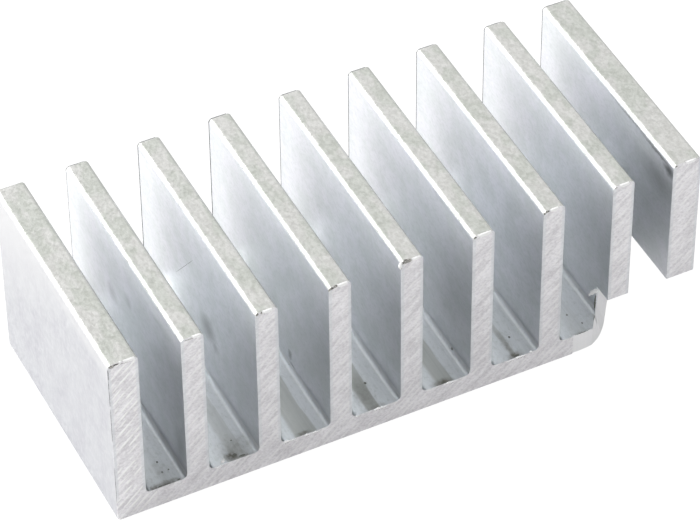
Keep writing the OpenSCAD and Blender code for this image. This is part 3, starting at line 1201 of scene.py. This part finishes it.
# %% Burrs round the far end of each fin, painted dark as a dark reflection
FAR_WIDTHS = (0.05, 0.11, 0.12, 0.08, 0.09, 0.08, 0.08, 0.07)
FAR_Y = BACK + 0.01
far_lines = []
for fin, width in enumerate(FAR_WIDTHS, 1):
    left, right = fin_sides(fin)
    tip = BAR["Tip radius"]
    shoulder = TOP - tip
    foot = RELIEF_TOP if left > WALL_X else FLOOR
    path = [(left + 0.02, FAR_Y, foot + (shoulder - foot) * k / 8) for k in range(9)]
    for turn in (math.radians(15 * k) for k in range(1, 6)):
        x = left + tip * (1 - math.cos(turn))
        path.append((x, FAR_Y, shoulder + tip * math.sin(turn) - 0.02))
    path += [(x, FAR_Y, TOP - 0.03) for x in (left + tip, right - tip)]
    far_lines.append((width, *path))
print("fins with a dull burr:", len(far_lines))

# %% Burrs down the front edge of the left side, and one scratch
# Each row: width, and the heights between which the burr runs.
SIDE_BURRS = ((0.12, 18.3, 19.5), (0.08, 15.0, 18.2), (0.05, 10.5, 14.6), (0.05, 2.0, 7.0))
left = fin_sides(0)[0]
for width, low, high in SIDE_BURRS:
    path = [(left + 0.02, FRONT, low + (high - low) * k / 6) for k in range(7)]
    far_lines.append((width, *path))
# One hair-thin scratch runs down the third fin.
left = fin_sides(2)[0]
far_lines.append((0.05, *[(left + 0.01, 5.0 - 0.7 * k, 9.96 + 0.86 * k) for k in range(7)]))
# All these lines get the dark grey burr colour, a painted dark reflection.
finished("far_burrs", grow(burr_tree, lines_mesh(far_lines), Material=burr_painted_dark))

# %% Dark line round the milled corner: residue, and painted shade in its creases
level = FLOOR - 0.02
skim_line = [(x, WALL_Y + 0.04, level) for x in (17.4, 17.9, 18.4, 18.8)]
wall_line = [(x - 0.03, y + 0.04, level) for x, y in top_plan[12:] if x < 20.5]
fin_line = [(20.67, -10.4, 2.3), (20.66, -10.42, 3.0), (20.66, -10.45, 3.7)]
fin_line.append((20.66, -10.5, 4.3))
residue_and_shade_lines = lines_mesh([(0.08, *skim_line), (0.09, *wall_line), (0.2, *fin_line)])
finished("milled_corner_residue_and_shade", grow(burr_tree, residue_and_shade_lines, Material=residue))

# %% Crumbs of residue on the floors
# Each row: place along X and Y, height above the floor, and size along X, Y and Z.
CRUMBS = [
    (-24.6, -9.6, 0.0, 0.1, 0.13, 0.03),
    (-24.7, -10.95, 0.0, 0.09, 0.12, 0.03),
    (-24.05, -10.9, 0.0, 0.08, 0.1, 0.03),
    (-3.11, -9.2, 0.0, 0.12, 0.16, 0.03),
    (6.12, -3.9, 0.12, 0.09, 0.16, 0.12),
    (6.1, -9.1, 0.2, 0.09, 0.2, 0.14),
    (-8.42, -4.0, 0.15, 0.09, 0.16, 0.12),
    (11.72, -9.95, 0.0, 0.1, 0.14, 0.03),
    (18.0, -9.8, 0.0, 0.09, 0.12, 0.03),
    (18.77, -11.4, 0.0, 0.08, 0.11, 0.03),
    (-17.4, -10.2, 0.0, 0.1, 0.1, 0.02),
    (-17.9, -12.0, 0.0, 0.22, 0.2, 0.03),
    (-17.3, -12.35, 0.0, 0.35, 0.1, 0.04),
    (-25.6, -12.5, 0.0, 0.25, 0.07, 0.04),
    (-24.8, -12.52, 0.0, 0.3, 0.06, 0.05),
    (-23.7, -12.45, 0.0, 0.15, 0.07, 0.04),
    (11.2, -12.4, 0.0, 0.3, 0.1, 0.03),
    (3.4, -12.45, 0.0, 0.2, 0.08, 0.03),
]
crumbs = points_mesh([(x, y, FLOOR + above, *sizes) for x, y, above, *sizes in CRUMBS])
ragged = {"Raggedness": 0.03 * MM, "Detail size": 0.15 * MM, "Material": residue}
finished("residue_crumbs", grow(lump_tree, crumbs, **ragged))

# %% [markdown]
# ## Floor, light and camera
#
# A white table under an even studio light. The table is white to the camera
# and in the metal, and keeps part of the shadow.

# %% Table
def seen_by(tree):
    """Which rays see a white surface: the camera's, and a tenth of those from the metal."""
    rays = put(tree, "ShaderNodeLightPath").outputs
    in_metal = put(
        tree,
        "ShaderNodeMath",
        {0: rays["Is Glossy Ray"], 1: rays["Is Transmission Ray"]},
        operation="MAXIMUM",
    )
    in_metal = put(tree, "ShaderNodeMath", {0: in_metal, 1: 0.1}, operation="MULTIPLY")
    return rays["Is Camera Ray"], in_metal


work = bmesh.new()
bmesh.ops.create_grid(work, x_segments=1, y_segments=1, size=3)
floor_mesh = bpy.data.meshes.new("table")
work.to_mesh(floor_mesh)
work.free()
table = add_object("table", floor_mesh)
white = bpy.data.materials.new("white_table")
white.use_nodes = True
tree = white.node_tree
tree.nodes.clear()
by_camera, in_metal = seen_by(tree)
share = put(
    tree, "ShaderNodeMath", {0: by_camera, 1: 0.9, 2: in_metal}, operation="MULTIPLY_ADD"
)
paper = put(tree, "ShaderNodeBsdfDiffuse", {"Color": (0.9, 0.9, 0.9, 1)})
glow = put(tree, "ShaderNodeEmission", {"Color": (1, 1, 1, 1), "Strength": 1.1})
both = put(tree, "ShaderNodeMixShader", {0: share, 1: paper, 2: glow})
# Seen from below, the table is left out, so that the foot of the bar shows.
below = put(tree, "ShaderNodeNewGeometry").outputs["Backfacing"]
clear = put(tree, "ShaderNodeBsdfTransparent")
both = put(tree, "ShaderNodeMixShader", {0: below, 1: both, 2: clear})
put(tree, "ShaderNodeOutputMaterial", {"Surface": both})
table.location.z = -0.02 * MM
floor_mesh.materials.append(white)
print("table at", round(table.location.z / MM, 3), "mm")

# %% Light
world = bpy.data.worlds.new("studio")
bpy.context.scene.world = world
world.use_nodes = True
tree = world.node_tree
tree.nodes.clear()
by_camera, in_metal = seen_by(tree)
seen = put(tree, "ShaderNodeMath", {0: by_camera, 1: in_metal}, operation="ADD")
strength = put(tree, "ShaderNodeMapRange", {0: seen, 3: 0.72, 4: 1.0})
sky = put(tree, "ShaderNodeBackground", {"Color": (1, 1, 1, 1), "Strength": strength})
put(tree, "ShaderNodeOutputWorld", {"Surface": sky})


def softbox(name, azimuth, elevation, power):
    """A square lamp a metre away, aimed at the bar; azimuth 0 is in front, 90 right."""
    turn, rise = math.radians(azimuth), math.radians(elevation)
    level = math.cos(rise)
    place = Vector((math.sin(turn) * level, -math.cos(turn) * level, math.sin(rise)))
    lamp = bpy.data.lights.new(name, "AREA")
    lamp.shape, lamp.size, lamp.energy = "SQUARE", 0.75, power
    thing = add_object(name, lamp)
    thing.location = place
    thing.rotation_euler = (Vector((0, 0, 0.01)) - place).to_track_quat("-Z", "Y").to_euler()
    print(name, "at", azimuth, "degrees,", power, "watts")


softbox("softbox_left_behind", 225, 24, 10.1)
softbox("softbox_behind", 180, 24, 1.8)
softbox("softbox_right_behind", 135, 24, 0.9)

# %% Camera
# It stands in front and to the left, 37 cm away, and looks down at 44 degrees.
PAN, TILT, ROLL = (math.radians(angle) for angle in (-26.128, 90 - 44.013, -0.538))
scene = bpy.context.scene
lens = bpy.data.cameras.new("camera")
lens.sensor_width, lens.lens = 36, 201.3
lens.clip_start, lens.clip_end = 0.01, 20
camera = add_object("camera", lens)
camera.location = (-0.11637, -0.23715, 0.26419)
camera.rotation_euler = (
    Matrix.Rotation(PAN, 3, "Z") @ Matrix.Rotation(TILT, 3, "X") @ Matrix.Rotation(ROLL, 3, "Z")
).to_euler()
scene.camera = camera
scene.view_settings.view_transform = "Standard"
print("camera", round(camera.location.length, 3), "m from the bar, lens", round(lens.lens, 1))
